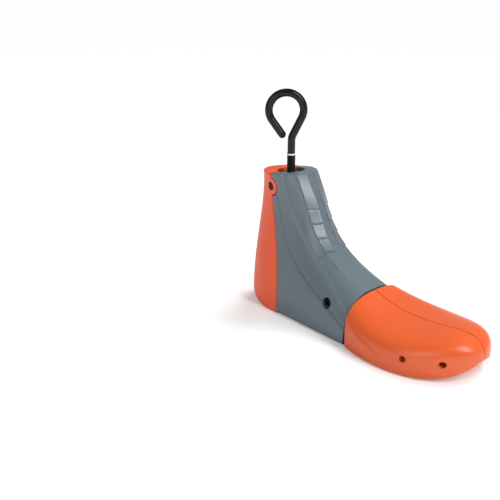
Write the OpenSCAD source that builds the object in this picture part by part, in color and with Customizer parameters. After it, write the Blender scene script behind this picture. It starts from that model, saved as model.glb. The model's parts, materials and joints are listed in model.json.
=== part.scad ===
// Two-way shoe stretcher. The hook screw lowers a cam block that swings the heel back for length
// and pushes a cam plate forward that spreads the two toe halves for width.
// X runs from heel to toe, Z is up and the origin is under the middle of the closed form.

/* [Form] */
// Height of the ankle top above the sole
ankle_h = 128; // [122:1:134]
// Heel back to the body's front rim
body_l = 138; // [134:1:144]
// Rear edge of the toe halves to their tip
toe_l = 108; // [104:1:116]
// Gap between the body's rim and the toe halves
toe_gap = 4; // [3:0.5:6]
// Width over both toe halves when closed
toe_w = 96; // [92:1:104]
// Height of the toe halves at their rear edge
toe_rear_h = 41.7; // [40:0.5:46]
// Height of the toe tip's nose line
nose_h = 17.4; // [15:0.5:20]
// Width of the heel and body at the sole
heel_w = 67.5; // [65:0.5:71]
// Width of the ankle top
ankle_w = 44; // [43:0.5:47]
// Front of the ankle top, from the heel back
ankle_front = 60; // [58:0.5:64]
// Back of the ankle top, from the heel back
ankle_back = 8; // [7:0.5:9]
// Height of the body's front rim
rim_h = 41.5; // [40:0.5:44]
// Rounding of the heel into the sole
sole_r = 12.3; // [10:0.5:14]

/* [Mouldings] */
// Wall of the body
body_wall = 2.8; // [2.4:0.1:3.2]
// Wall of the heel piece
heel_wall = 3; // [2.6:0.1:3.2]
// Wall of the toe halves
toe_wall = 2.6; // [2.2:0.1:3]
// Gap between heel piece and body, and between the toe halves
part_gap = 0.6; // [0.4:0.1:0.9]
// Thickness of the body's top deck
deck_t = 6; // [5.5:0.5:7]
// Radius of the round recess in the ankle top
recess_r = 13; // [12:0.5:14]
// Slope of the body's part of the ankle top, up towards the front
body_top_slope = 6; // [0:0.5:8]
// Slope of the heel piece's part of it
heel_top_slope = 3; // [0:0.5:4]
// Radius of the hinge ears on the heel piece
ear_r = 8.3; // [7.8:0.1:8.8]
// Hinge pin below the ankle top
pivot_drop = 12.6; // [12:0.2:13.4]
// Hinge pin from the heel back
pivot_x = 29.5; // [28.5:0.5:30.5]

/* [Adjustment] */
// Travel of the hook screw
screw_travel = 17.5; // [10:0.5:17.5]
// Swing of the heel at full travel
heel_swing = 7; // [3:0.5:7.5]
// Forward travel of the cam plate
cam_travel = 12; // [8:0.5:12]
// Outward travel of each toe half
toe_spread = 6; // [3:0.5:7]

/* [Hook] */
// Diameter of the bare rod
rod_d = 7.1; // [6.5:0.1:7.4]
// Diameter over the screw thread
thread_d = 8; // [7.8:0.1:8.2]
// Radius of the loop at the rod's centre
loop_r = 15.6; // [14:0.2:18]
// Centre of the loop beside the screw's axis
loop_shift = 5.2; // [2:0.1:6]
// Centre of the loop above the depth ring
loop_rise = 40; // [38:0.2:48]
// Lean of the leg between screw and loop
leg_lean = 26; // [24:0.2:30]
// Lean of the free end's leg
end_lean = 35.5; // [30:0.5:38]
// Straight length of the free end
end_l = 16; // [12:0.5:18]
// Radius of the bend above the ring
bend_r = 12.5; // [10:0.5:16]
// Turn of the loop about the screw at rest
loop_turn = 46.7; // [0:0.1:90]
// Screw axis from the heel back
stem_x = 36.7; // [36.3:0.1:37.2]
// Width of the white depth ring
ring_h = 1.3; // [1:0.1:2]

/* [Hardware] */
// Diameter of the heel hinge pins in the ears
hinge_d = 8; // [7.4:0.2:8.4]
// Diameter of the same pins in the body
hinge_seat_d = 6; // [5:0.2:6.4]
// Diameter of the three cam pins
cam_pin_d = 5; // [4.4:0.2:5.4]
// Diameter of the push rod
push_rod_d = 8; // [7:0.2:8.2]
// Diameter of the toe guide rods
guide_rod_d = 5; // [4.4:0.2:5.4]
// Diameter of the cross pin through the body
cross_pin_d = 9.8; // [9:0.2:10]
// Screw nut across its flats
nut_af = 13; // [12:0.5:13]
// Height of the screw nut
nut_h = 6.5; // [5.5:0.5:6.5]
// Diameter of the small screws
screw_d = 3; // [2.5:0.5:3]
// Diameter of the plug holes in the toe halves
plug_d = 5.6; // [5:0.2:6]
// Radial clearance of a shaft that turns or slides
fit = 0.1; // [0.05:0.01:0.12]
// Clearance between moving plastic parts
slide_gap = 0.3; // [0.3:0.05:0.5]

/* [Hidden] */
$fn = 48;

// Seat of a pin or rod that is pressed into its own body
seat = 0.02;
over = 1;
lap = 0.1;
body_grey = "#69717a";
form_orange = "#e8613a";
black = "#1c1c1e";
steel = "#a9adb0";

// Cubic curve over t from four control values
function bez(c, t) =
  c[0]*pow(1 - t, 3) + 3*c[1]*t*pow(1 - t, 2) + 3*c[2]*t*t*(1 - t) + c[3]*pow(t, 3);
function clamp(v, lo, hi) = max(lo, min(hi, v));
function mix(a, b, t) = a + (b - a)*t;

// The ankle form is a stack of level sections, each an ellipse behind and a fuller curve in front
heel_line = [2.3, -4.4, ankle_back - 2.7, ankle_back];
instep_line = [body_l, ankle_front + 12, ankle_front + 26.5, ankle_front];
width_line = [heel_w/2, heel_w/2 - 1.8, ankle_w/2 - 9.6, ankle_w/2];
split_line = [53.1, 53.6, stem_x - 5.9, stem_x - 9.4];
centre_share = [0.11, 0.59];
front_round = [0.42, 0.78];
side_round = [0.5, 0.85];
widening = [0.2, 0.02];
function rear_x(z) =
  let (k = max(0, 1 - z/sole_r)) bez(heel_line, z/ankle_h) + sole_r*(1 - sqrt(1 - k*k));
function front_x(z) = bez(instep_line, (z - rim_h)/(ankle_h - rim_h));
function front_slope(z) = front_x(z + 0.5) - front_x(z - 0.5);
// Section at height z, drawn in by a wall o: back, centre, front, half width, rounding, widening, rim
function section(z, o) =
  let (t = z/ankle_h, xb = rear_x(z), xf = front_x(z),
       xc = xb + (xf - xb)*mix(centre_share[0], centre_share[1], t))
  [xb + o, xc, xf - o*sqrt(1 + pow(front_slope(z), 2)), bez(width_line, t) - o,
   mix(front_round[0], front_round[1], t), mix(side_round[0], side_round[1], t),
   mix(widening[0], widening[1], t), body_l - o];
function side_y(s, x) = x < s[1]
  ? s[3]*sqrt(max(0, 1 - pow((s[1] - x)/(s[1] - s[0]), 2)))
  : s[3]*pow(max(0, 1 - pow(min(1, (x - s[1])/(s[2] - s[1])), 2/s[4])), s[5]/2)
    *(1 + s[6]*(x - s[1])/(s[7] - s[1]));
function nose_x(s, y, y_max) = let (q = pow(clamp(y/y_max, 0, 1), 2/s[5]))
  min(s[7], s[1] + (s[2] - s[1])*pow(max(0, 1 - q), s[4]/2));

// Edge between heel piece and body, which runs round the hinge ear
pivot_z = ankle_h - pivot_drop;
function ear_x(z) = pivot_x + sqrt(max(0, ear_r*ear_r - pow(z - pivot_z, 2)));
function heel_edge(z) = abs(z - pivot_z) < ear_r
  ? max(z > pivot_z ? pivot_x : bez(split_line, z/ankle_h), ear_x(z))
  : z > pivot_z ? pivot_x : bez(split_line, z/ankle_h);
function body_edge(z) = heel_edge(z) + part_gap + max(0, z - pivot_z)*sin(heel_swing);

// Half outlines of the sections, from the edge to the middle line
side_steps = 10;
nose_steps = 7;
function body_half(z, o) =
  let (s = section(z, o), xe = body_edge(z), xm = min(s[7], s[1] + 0.82*(s[2] - s[1])),
       ym = side_y(s, xm), full = s[3]*(1 + s[6]*(xm - s[1])/(s[7] - s[1])))
  concat(
    [for (i = [0 : side_steps]) let (x = mix(xe, xm, i/side_steps)) [x, side_y(s, x)]],
    [for (i = [1 : nose_steps]) let (y = ym*cos(90*i/nose_steps)) [max(xm, nose_x(s, y, full)), y]]);
heel_steps = 12;
function heel_half(z, o) = let (s = section(z, o), xe = heel_edge(z))
  [for (i = [0 : heel_steps]) let (x = mix(xe, s[0], sin(90*i/heel_steps))) [x, side_y(s, x)]];
function both_sides(half, z, side) = let (n = len(half) - 1) concat(
  [for (i = [0 : n]) [half[i][0], -side*half[i][1], z]],
  [for (i = [n - 1 : -1 : 0]) [half[i][0], side*half[i][1], z]]);

// Points of a section, raised so that the ankle top slopes
function sloped(row, slope) = [for (p = row) let (s = max(0, p[2] - pivot_z)/pivot_drop)
  [p[0], p[1], p[2] + tan(slope)*(p[0] - pivot_x)*s*s]];

// Levels of the sections, close together in the rounded sole and round the ear
ear_levels = [for (a = [0, 18, 36, 60, 90]) pivot_z - (ear_r - 0.1)*cos(a)];
top_levels = [for (i = [1 : 4]) pivot_z + pivot_drop*i/4];
heel_levels = concat([for (a = [0 : 18 : 90]) sole_r*(1 - cos(a))],
  [for (i = [1 : 8]) mix(sole_r, ear_levels[0], i/9)], ear_levels, top_levels);
body_levels = concat([0, 0.5, 2, 8], [for (i = [1 : 5]) mix(8, rim_h - 1.5, i/5)],
  [for (i = [0 : 9]) mix(rim_h + 1.5, ear_levels[0] - 3, i/9)], ear_levels, top_levels);
// Inner level of an outer one, between the floor and the deck
function inner_z(z, low, high) = let (a = 15)
  z < a ? mix(low, a, z/a) : z > pivot_z ? mix(pivot_z, high, (z - pivot_z)/pivot_drop) : z;

// Wall between two nets of points. Net rows run along the form, and each row goes round it from one
// open edge to the other. The last row is closed by its chord, and the first one too unless open.
module walled(outer, inner, open_start = false) {
  rows = len(outer);
  n = len(outer[0]);
  m = rows*n;
  last = m - n;
  quads = concat(
    [for (j = [0 : rows - 2], i = [0 : n - 2])
      [j*n + i, (j + 1)*n + i, (j + 1)*n + i + 1, j*n + i + 1]],
    [for (j = [0 : rows - 2], i = [0 : n - 2])
      [m + j*n + i, m + j*n + i + 1, m + (j + 1)*n + i + 1, m + (j + 1)*n + i]],
    [for (j = [0 : rows - 2]) [m + j*n, m + (j + 1)*n, (j + 1)*n, j*n]],
    [for (j = [1 : rows - 1]) [j*n - 1, (j + 1)*n - 1, m + (j + 1)*n - 1, m + j*n - 1]],
    open_start ? [for (i = [0 : n - 2]) [i, i + 1, m + i + 1, m + i]] : [[0, n - 1, m + n - 1, m]],
    [[m + last, m + last + n - 1, last + n - 1, last]]);
  caps = concat(
    open_start ? [] : [[for (i = [0 : n - 1]) i], [for (i = [n - 1 : -1 : 0]) m + i]],
    [[for (i = [n - 1 : -1 : 0]) last + i], [for (i = [0 : n - 1]) m + last + i]]);
  triangles = [for (q = quads, k = [0, 1]) k == 0 ? [q[0], q[1], q[2]] : [q[0], q[2], q[3]]];
  points = concat([for (row = outer, p = row) p], [for (row = inner, p = row) p]);
  polyhedron(points = points, faces = concat(triangles, caps));
}

// The toe form is a run of domed cross sections over u, from 0 at the rear to 1 at the tip
toe_x = body_l + toe_gap;
total_l = toe_x + toe_l;
width_shape = [0.842, 1.115, 1.031, 0.721];
height_line = [toe_rear_h, toe_rear_h - 17, toe_rear_h - 11.2, toe_rear_h + 2.4];
tip_plan = [4.48, 2.28];
tip_top = [5.42, 2.17];
tip_sole = [6.75, 1.52];
rear_lean = 1.2;
dome_y = 0.91;
dome_z = 0.38;
lip_y = 0.48;
lip_z = 0.89;
lip_share = 0.03;
function fade(u, shape) = pow(max(0, 1 - pow(u, shape[0])), 1/shape[1]);
function plan_shape(u) = bez(width_shape, u)*fade(u, tip_plan);
plan_peak = max([for (i = [0 : 50]) plan_shape(i/50)]);
seam = part_gap/2;
function toe_half_w(u, o) = (toe_w/2 - seam)*plan_shape(u)/plan_peak - o*fade(u, tip_plan);
function toe_top(u, o) = nose_h + (bez(height_line, u) - o - nose_h)*fade(u, tip_top);
function toe_sole(u, o) = o + (nose_h - o)*(1 - fade(u, tip_sole));
toe_stations = 22;
toe_round = 24;
last_angle = 88;
function toe_row(j, o, back, tip) =
  let (u = sin(last_angle*j/toe_stations), w = toe_half_w(u, o), t = toe_top(u, o), b = toe_sole(u, o),
       zw = mix(b, t, lip_share))
  [for (i = [0 : toe_round]) let (a = -90 + 180*i/toe_round, c = max(0, cos(a)), s = abs(sin(a)),
      y = w*pow(c, a < 0 ? lip_y : dome_y),
      z = a < 0 ? zw - (zw - b)*pow(s, lip_z) : zw + (t - zw)*pow(s, dome_z))
    [mix(back - rear_lean*(z/toe_rear_h + y/toe_w), tip, u), seam + y, z]];
// Half width of the toe form at a place along it and a height
function toe_side(x, z) =
  let (u = (x - toe_x)/toe_l, t = toe_top(u, 0), b = toe_sole(u, 0), zw = mix(b, t, lip_share),
       s = pow(clamp((z - zw)/(t - zw), 0, 1), 1/dome_z))
  seam + toe_half_w(u, 0)*pow(1 - s*s, dome_y/2);
// Reach of a boss of radius r from inside to the toe's wall, short of its surface
function boss_y(x, z, r) = min([for (dx = [-r, 0, r], dz = [-r, 0, r]) toe_side(x + dx, z + dz)]) - 1;

// Inner works
push_z = 18;
spigot_r = 2.5;
bush_r = push_rod_d/2 + 2;
frame_y = [10.6, 13.4];
cam_y = 10;
lug_y = [8.4, 12.3];
rib_y = 4;
block_z = [36, 84];
heel_cam = [24, 52];
yoke_cam = [50, 44];
plug_at = [[toe_x + 62, 15], [toe_x + 90, 16]];
guide_x = [toe_x + 14, toe_x + 56];
guide_z = 7.4;
toe_cam = [toe_x + 42, 13];
plate_z = [15.5, 20.5];
tongue_z = [3.6, 11.2];
tongue_y = 9;
recess_d = heel_wall + slide_gap;
ring_z = ankle_h - recess_d + screw_travel + 1;
thread_z = block_z[1] + 1.2;
nut_z = ankle_h - deck_t - 8.5;
cross_at = [body_l - 24.5, 29.5];
cross_y = side_y(section(cross_at[1], 0), cross_at[0]) - 5;
carrier_x = [cross_at[0] - 9.5, body_l - 7];
carrier_y = cross_y - 8.6;
head_r = 0.917*screw_d;
base_z = 6;
base_t = 3;
frame_front = body_l - 40;
base_screw_x = [62, frame_front - 8];
base_screw_y = frame_y[0] - head_r - 0.25;
nut_block = [24, 50];
nut_screw_x = [nut_block[0] + 2.6, nut_block[1] - 3];
nut_plate_y = lug_y[0] - 1.3;
tongue_x = 31;
tongue_w = 4;
journal_d = 6;
groove_r = 2.45;
cam_gap = 0.15;
// Path of the heel's cam pin about the hinge
heel_arm = [heel_cam[0] - pivot_x, heel_cam[1] - pivot_z];
heel_step = [heel_arm[0]*cos(heel_swing) + heel_arm[1]*sin(heel_swing) - heel_arm[0],
             heel_arm[1]*cos(heel_swing) - heel_arm[0]*sin(heel_swing) - heel_arm[1]];

module placed() { translate([-total_l/2, 0, 0]) children(); }
// Cylinder along Y between two values of y, and one along X
module bar_y(x, z, r, y0, y1) {
  translate([x, y0, z]) rotate([-90, 0, 0]) cylinder(r = r, h = y1 - y0);
}
module bar_x(z, r, x0, x1) { translate([x0, 0, z]) rotate([0, 90, 0]) cylinder(r = r, h = x1 - x0); }
module bar_z(x, y, r, z0, z1) { translate([x, y, z0]) cylinder(r = r, h = z1 - z0); }
module box(a, b) { translate(a) cube(b - a); }
// Plate with an outline in X and Z, between two values of y
module plate_xz(points, y0, y1) {
  translate([0, y1, 0]) rotate([90, 0, 0]) linear_extrude(y1 - y0) polygon(points);
}
module plate_yz(points, x0, x1) {
  translate([x0, 0, 0]) rotate([90, 0, 90]) linear_extrude(x1 - x0) polygon(points);
}
module both() {
  children();
  mirror([0, 1, 0]) children();
}
// Slot for a pin from a to b, with ends a hair rounder than its width
module slot_xy(a, b, r) {
  d = b - a;
  n = [-d[1], d[0]]*(r - 0.01)/norm(d);
  polygon([a + n, b + n, b - n, a - n]);
  translate(a) circle(r);
  translate(b) circle(r);
}
module slot_y(a, b, r, y0, y1) {
  translate([0, y1, 0]) rotate([90, 0, 0]) linear_extrude(y1 - y0) slot_xy(a, b, r);
}

// Outline of the body's front opening, drawn in from its surface
opening_top = rim_h - 2.7;
opening_steps = 8;
function opening(o) = let (side = [for (i = [0 : opening_steps])
    let (z = mix(o, opening_top - o, i/opening_steps)) [side_y(section(z, 0), body_l - 0.5) - o, z]])
  concat(side, [for (i = [opening_steps : -1 : 0]) [-side[i][0], side[i][1]]]);

module body_shell() {
  floor_t = body_wall;
  outer = [for (z = body_levels) sloped(both_sides(body_half(z, 0), z, 1), body_top_slope)];
  inner = [for (z = body_levels) let (h = inner_z(z, floor_t, ankle_h - deck_t))
    both_sides(body_half(h, body_wall), h, 1)];
  floor_z = ankle_h - recess_d;
  top_z = ankle_h + tan(body_top_slope)*(ankle_front - pivot_x) + over;
  color(body_grey) placed() difference() {
    union() {
      walled(outer, inner);
      // Tongue of the deck, behind the screw
      bar_z(tongue_x, 0, recess_r + 2.5, ankle_h - deck_t, floor_z);
      // Hinge lugs that hang from the deck
      both() {
        bar_y(pivot_x, pivot_z, ear_r, lug_y[0], lug_y[1]);
        box([pivot_x - ear_r, lug_y[0], pivot_z], [nut_block[1], lug_y[1], ankle_h - deck_t + over]);
      }
      box([nut_block[0], -9, nut_z], [nut_block[1], 9, ankle_h - deck_t + over]);
      for (x = base_screw_x) both() bar_z(x, base_screw_y, screw_d/2 + 2.5, floor_t - over, base_z);
      both() bar_y(cross_at[0], cross_at[1], cross_pin_d/2 + 2.6, carrier_y + slide_gap, cross_y);
    }
    bar_z(stem_x, 0, recess_r, floor_z, top_z);
    bar_z(stem_x, 0, thread_d/2 + slide_gap, nut_z - over, top_z);
    translate([stem_x, 0, nut_z - over])
      cylinder(r = (nut_af/2 + fit)/cos(30), h = nut_h + over + slide_gap, $fn = 6);
    both() bar_y(pivot_x, pivot_z, hinge_seat_d/2 + seat, 7, 13);
    for (x = nut_screw_x) bar_z(x, 0, screw_d/2 + seat, nut_z - over, nut_z + 7);
    for (x = base_screw_x) both() bar_z(x, base_screw_y, screw_d/2 + seat, floor_t/2, base_z + over);
    plate_yz(opening(body_wall), body_l - body_wall - 2, body_l + over);
    both() bar_y(cross_at[0], cross_at[1], cross_pin_d/2 + fit, carrier_y, heel_w);
  }
}

module drive_nut() {
  color(steel) placed() difference() {
    translate([stem_x, 0, nut_z]) cylinder(r = nut_af/2/cos(30), h = nut_h, $fn = 6);
    bar_z(stem_x, 0, thread_d/2 + fit, nut_z - over, nut_z + nut_h + over);
  }
}

module nut_plate() {
  color(black) placed() difference() {
    box([nut_block[0], -nut_plate_y, nut_z - 2], [nut_block[1], nut_plate_y, nut_z]);
    bar_z(stem_x, 0, thread_d/2 + slide_gap, nut_z - 3, nut_z + over);
    for (x = nut_screw_x) bar_z(x, 0, screw_d/2 + fit, nut_z - 3, nut_z + over);
  }
}

// Pan head screw that points up or down from the face under its head
module screw(length, up) {
  flip = up ? 0 : 180;
  rotate([flip, 0, 0]) difference() {
    union() {
      cylinder(r = screw_d/2, h = length);
      translate([0, 0, -1.8]) cylinder(r = head_r, h = 1.8);
    }
    translate([0, 0, -1.8 - over]) cylinder(r = 1.1, h = over + 1.2, $fn = 6);
  }
}

module nut_plate_screws() {
  color(steel) placed() for (x = nut_screw_x) translate([x, 0, nut_z - 2]) screw(8, true);
}

module frame_screws() {
  color(steel) placed() for (x = base_screw_x, y = [-base_screw_y, base_screw_y])
    translate([x, y, base_z + base_t]) screw(base_z + base_t - body_wall/2 - 0.2, false);
}

module hinge_pins() {
  color(black) placed() both() {
    bar_y(pivot_x, pivot_z, hinge_seat_d/2, 7.4, lug_y[1] + over);
    bar_y(pivot_x, pivot_z, hinge_d/2, lug_y[1], lug_y[1] + 5);
  }
}

// Two side plates, a base and a front web that guide the cam block and the push rod
module guide_frame() {
  side = [[26, 18], [26, block_z[1] + 2], [50, block_z[1] + 2], [72, 60], [frame_front, 24],
    [frame_front, base_z], [56, base_z], [40, 12]];
  color(black) placed() difference() {
    union() {
      both() plate_xz(side, frame_y[0], frame_y[1]);
      box([56, -frame_y[1], base_z], [frame_front, frame_y[1], base_z + base_t]);
      box([frame_front - 4, -frame_y[1], base_z], [frame_front, frame_y[1], push_z + 8]);
    }
    box([stem_x - tongue_w/2 - slide_gap, -20, block_z[0] - screw_travel + 3],
      [stem_x + tongue_w/2 + slide_gap, 20, block_z[1] - 2]);
    bar_x(push_z, bush_r + seat, frame_front - 5, frame_front + over);
    for (x = base_screw_x) both() bar_z(x, base_screw_y, screw_d/2 + fit, base_z - over, base_z + 5);
  }
}

module rod_bush() {
  color(steel) placed() difference() {
    bar_x(push_z, bush_r, frame_front - 6, frame_front + 2);
    bar_x(push_z, push_rod_d/2 + fit, frame_front - 7, frame_front + 3);
  }
}

// Block in the body's front, with a plug behind the rim and a tongue that carries the guide rods
module toe_carrier() {
  color(black) placed() difference() {
    union() {
      box([carrier_x[0], -carrier_y, body_wall], [carrier_x[1], carrier_y, cross_at[1] + 6.5]);
      plate_yz(opening(body_wall + 1.8), carrier_x[1] - over, body_l - 4);
      plate_yz(opening(body_wall + 1), body_l - 4.5, toe_x);
      box([body_l, -tongue_y, tongue_z[0]], [guide_x[1] + 6, tongue_y, tongue_z[1]]);
    }
    bar_x(push_z, push_rod_d/2 + fit, carrier_x[0] - over, toe_x + over);
    bar_y(cross_at[0], cross_at[1], cross_pin_d/2 + seat, -cross_y, cross_y);
    for (x = guide_x) bar_y(x, guide_z, guide_rod_d/2 + seat, -tongue_y - over, tongue_y + over);
  }
}

module cross_pin() {
  color(black) placed() bar_y(cross_at[0], cross_at[1], cross_pin_d/2, -cross_y - 0.7, cross_y + 0.7);
}

module guide_rods() {
  color(steel) placed() for (x = guide_x) bar_y(x, guide_z, guide_rod_d/2, -toe_w/2 + 14, toe_w/2 - 14);
}

// The block hangs on the screw's journal. Its slots drive the heel's pin and the yoke's pin.
module cam_block() {
  outline = [[20, 44], [12, 63], [12, 72], [15, 76], [28, 78], [28, block_z[1]], [45.4, block_z[1]],
    [45.4, 75], [61, 69.5], [69, 64], [69, 56], [56.5, 38.5], [50, block_z[0]], [28, block_z[0]]];
  color(black) placed() difference() {
    union() {
      plate_xz(outline, -cam_y, cam_y);
      both() box([stem_x - tongue_w/2, 0, block_z[0] + 5], [stem_x + tongue_w/2, 13, block_z[1] - 4]);
    }
    box([0, -rib_y - slide_gap, 20], [28.9, rib_y + slide_gap, 90]);
    box([44.5, -rib_y - slide_gap, 20], [80, rib_y + slide_gap, 90]);
    box([stem_x - 6, -20, 64], [stem_x + 6, 20, 76]);
    bar_z(stem_x, 0, journal_d/2 + fit, 70, 90);
    slot_y(heel_cam, heel_cam + heel_step + [0, screw_travel], cam_pin_d/2 + cam_gap, -12, 12);
    slot_y(yoke_cam, yoke_cam + [cam_travel, screw_travel], cam_pin_d/2 + cam_gap, -12, 12);
  }
}

module thrust_washers() {
  color(steel) placed() difference() {
    union() {
      bar_z(stem_x, 0, 7, block_z[1], thread_z - 0.1);
      bar_z(stem_x, 0, 5.5, 75.05, 76);
    }
    bar_z(stem_x, 0, journal_d/2 + fit, 74, 90);
  }
}

// Bent rod in its own plane: p is across and q is up, and a ball rounds the free end
module hook() {
  loop_q = ring_z + ring_h/2 + loop_rise;
  leg_p = loop_r*cos(leg_lean) - loop_shift;
  leg_q = loop_q - loop_r*sin(leg_lean);
  bend_p = bend_r*(1 - cos(leg_lean));
  leg_l = (leg_p - bend_p)/sin(leg_lean);
  bend_q = leg_q - leg_l*cos(leg_lean) - bend_r*sin(leg_lean);
  color(black) placed() difference() {
    union() {
      bar_z(stem_x, 0, journal_d/2, 72, thread_z + over);
      bar_z(stem_x, 0, thread_d/2, thread_z, ring_z);
      bar_z(stem_x, 0, rod_d/2, ring_z - over, bend_q + lap);
      translate([stem_x, 0, 0]) rotate([0, 0, loop_turn]) {
        translate([bend_r, 0, bend_q]) rotate([90, 0, 0]) rotate([0, 0, 180 - leg_lean])
          rotate_extrude(angle = leg_lean) translate([bend_r, 0]) circle(rod_d/2);
        translate([bend_p, 0, bend_q + bend_r*sin(leg_lean)]) rotate([0, leg_lean, 0])
          translate([0, 0, -lap]) cylinder(r = rod_d/2, h = leg_l + 2*lap);
        translate([-loop_shift, 0, loop_q]) rotate([90, 0, 0]) rotate([0, 0, -leg_lean])
          rotate_extrude(angle = 180 + leg_lean + end_lean) translate([loop_r, 0]) circle(rod_d/2);
        translate([-loop_shift - loop_r*cos(end_lean), 0, loop_q - loop_r*sin(end_lean)])
          rotate([0, 180 - end_lean, 0]) {
            translate([0, 0, -lap]) cylinder(r = rod_d/2, h = end_l + lap);
            translate([0, 0, end_l]) sphere(rod_d/2);
          }
      }
    }
    difference() {
      bar_z(stem_x, 0, 5, 74, 75);
      bar_z(stem_x, 0, groove_r, 73, 76);
    }
  }
}

module depth_ring() {
  color("#e9e9e4") placed() difference() {
    bar_z(stem_x, 0, thread_d/2 + 0.4, ring_z, ring_z + ring_h);
    bar_z(stem_x, 0, rod_d/2, ring_z - over, ring_z + ring_h + over);
  }
}

module retaining_clip() {
  color(steel) placed() difference() {
    bar_z(stem_x, 0, 5, 74.05, 74.95);
    bar_z(stem_x, 0, groove_r + seat, 73, 76);
    box([stem_x - 1.6, 0, 73], [stem_x + 1.6, 8, 76]);
  }
}

module push_rod() {
  color(steel) placed() difference() {
    union() {
      bar_x(push_z, push_rod_d/2, yoke_cam[0] + 18, toe_cam[0] - 18);
      bar_x(push_z, spigot_r, yoke_cam[0] + 8, yoke_cam[0] + 18 + over);
    }
    bar_z(toe_cam[0] - 22, 0, screw_d/2 + seat, push_z + over, push_z + 8);
  }
}

module push_yoke() {
  color(black) placed() difference() {
    union() {
      bar_y(yoke_cam[0], yoke_cam[1], 4.8, -rib_y, rib_y);
      plate_xz([[45.2, 44], [54.8, 44], [68, 24.5], [68, 11.5], [57, 11.5], [50, 20]], -rib_y, rib_y);
    }
    bar_y(yoke_cam[0], yoke_cam[1], cam_pin_d/2 + seat, -8, 8);
    bar_x(push_z, spigot_r + seat, yoke_cam[0] + 7.5, yoke_cam[0] + 20);
  }
}

module yoke_pin() {
  color(steel) placed() bar_y(yoke_cam[0], yoke_cam[1], cam_pin_d/2, 0.3 - cam_y, cam_y - 0.3);
}

// Its two slots turn the push rod's travel into the spread of the toe halves
module cam_plate() {
  x = toe_cam[0];
  outline = [[x - 18, -25.5], [x - 8, -25.5], [x + 6, -18.5], [x + 6, 18.5], [x - 8, 25.5], [x - 18, 25.5]];
  color(black) placed() difference() {
    union() {
      translate([0, 0, plate_z[0]]) linear_extrude(plate_z[1] - plate_z[0]) polygon(outline);
      bar_x(push_z, 6.5, x - 26, x - 12);
    }
    both() translate([0, 0, plate_z[0] - over]) linear_extrude(plate_z[1] - plate_z[0] + 2*over)
      slot_xy(toe_cam, toe_cam + [-cam_travel, toe_spread], cam_pin_d/2 + cam_gap);
    bar_x(push_z, push_rod_d/2 + seat, x - 27, x - 18);
    bar_z(x - 22, 0, screw_d/2 + seat, push_z, push_z + 8);
  }
}

module cam_plate_screw() {
  color(steel) placed() translate([toe_cam[0] - 22, 0, push_z + 6.4]) screw(5, false);
}

module heel_shell() {
  outer = [for (z = heel_levels) sloped(both_sides(heel_half(z, 0), z, -1), heel_top_slope)];
  inner = [for (z = heel_levels) let (h = inner_z(z, heel_wall, ankle_h - heel_wall))
    both_sides(heel_half(h, heel_wall), h, -1)];
  rib = [[3.5, 36], [16, 44], [27, 49], [27, 55], [16, 60], [4, 66], [2.2, 50]];
  color(form_orange) placed() difference() {
    union() {
      walled(outer, inner);
      both() bar_y(pivot_x, pivot_z, pivot_drop - deck_t - slide_gap, lug_y[1] + slide_gap, 16.8);
      plate_xz(rib, -rib_y, rib_y);
      bar_y(heel_cam[0], heel_cam[1], 4.4, -rib_y, rib_y);
    }
    bar_z(stem_x, 0, recess_r, ankle_h - heel_wall - over, ankle_h + over);
    both() bar_y(pivot_x, pivot_z, hinge_d/2 + fit, 12, 30);
    bar_y(heel_cam[0], heel_cam[1], cam_pin_d/2 + seat, -8, 8);
  }
}

module heel_cam_pin() {
  color(steel) placed() bar_y(heel_cam[0], heel_cam[1], cam_pin_d/2, 0.3 - cam_y, cam_y - 0.3);
}

module toe_half() {
  outer = [for (j = [0 : toe_stations]) toe_row(j, 0, toe_x, total_l)];
  inner = [for (j = [0 : toe_stations]) toe_row(j, toe_wall, toe_x, total_l - toe_wall)];
  x = toe_cam[0];
  shelf_t = 3.7;
  low = plate_z[0] - slide_gap - shelf_t;
  high = plate_z[1] + slide_gap;
  color(form_orange) placed() difference() {
    union() {
      walled(outer, inner, true);
      for (g = guide_x) bar_y(g, guide_z, 5.5, 12, boss_y(g, guide_z, 5.5));
      for (z = [low, high])
        box([x - 8, toe_cam[1] - 4, z], [x + 8, boss_y(x, z + shelf_t - 8, 8), z + shelf_t]);
      for (p = plug_at) bar_y(p[0], p[1], plug_d/2 + 1.6, toe_side(p[0], p[1]) - 7, boss_y(p[0], p[1], 4.4));
    }
    for (g = guide_x) bar_y(g, guide_z, guide_rod_d/2 + fit, 11, toe_w/2 - 13);
    bar_z(toe_cam[0], toe_cam[1], cam_pin_d/2 + seat, low - over, high + shelf_t + over);
    for (p = plug_at) bar_y(p[0], p[1], plug_d/2, toe_side(p[0], p[1]) - 8, toe_w/2 + over);
  }
}

module toe_pin(y) { color(steel) placed() bar_z(toe_cam[0], y, cam_pin_d/2, plate_z[0] - 4, plate_z[1] + 4); }

module toe_left() { toe_half(); }
module toe_right() { mirror([0, 1, 0]) toe_half(); }
module toe_left_pin() { toe_pin(toe_cam[1]); }
module toe_right_pin() { toe_pin(-toe_cam[1]); }

body_shell();
drive_nut();
nut_plate();
nut_plate_screws();
hinge_pins();
guide_frame();
frame_screws();
rod_bush();
toe_carrier();
cross_pin();
guide_rods();
cam_block();
thrust_washers();
hook();
depth_ring();
retaining_clip();
push_rod();
push_yoke();
yoke_pin();
cam_plate();
cam_plate_screw();
heel_shell();
heel_cam_pin();
toe_left();
toe_left_pin();
toe_right();
toe_right_pin();
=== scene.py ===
# %% [markdown]
# # A two-way shoe stretcher
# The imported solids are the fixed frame. This script dresses them: it makes finer skins for the
# moulded shells and the bent hook, gives every part a procedural finish, and sets a pale table,
# soft light and a camera. Lengths in the text are in millimetres, measured from the heel's back.

import json
import math

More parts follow.
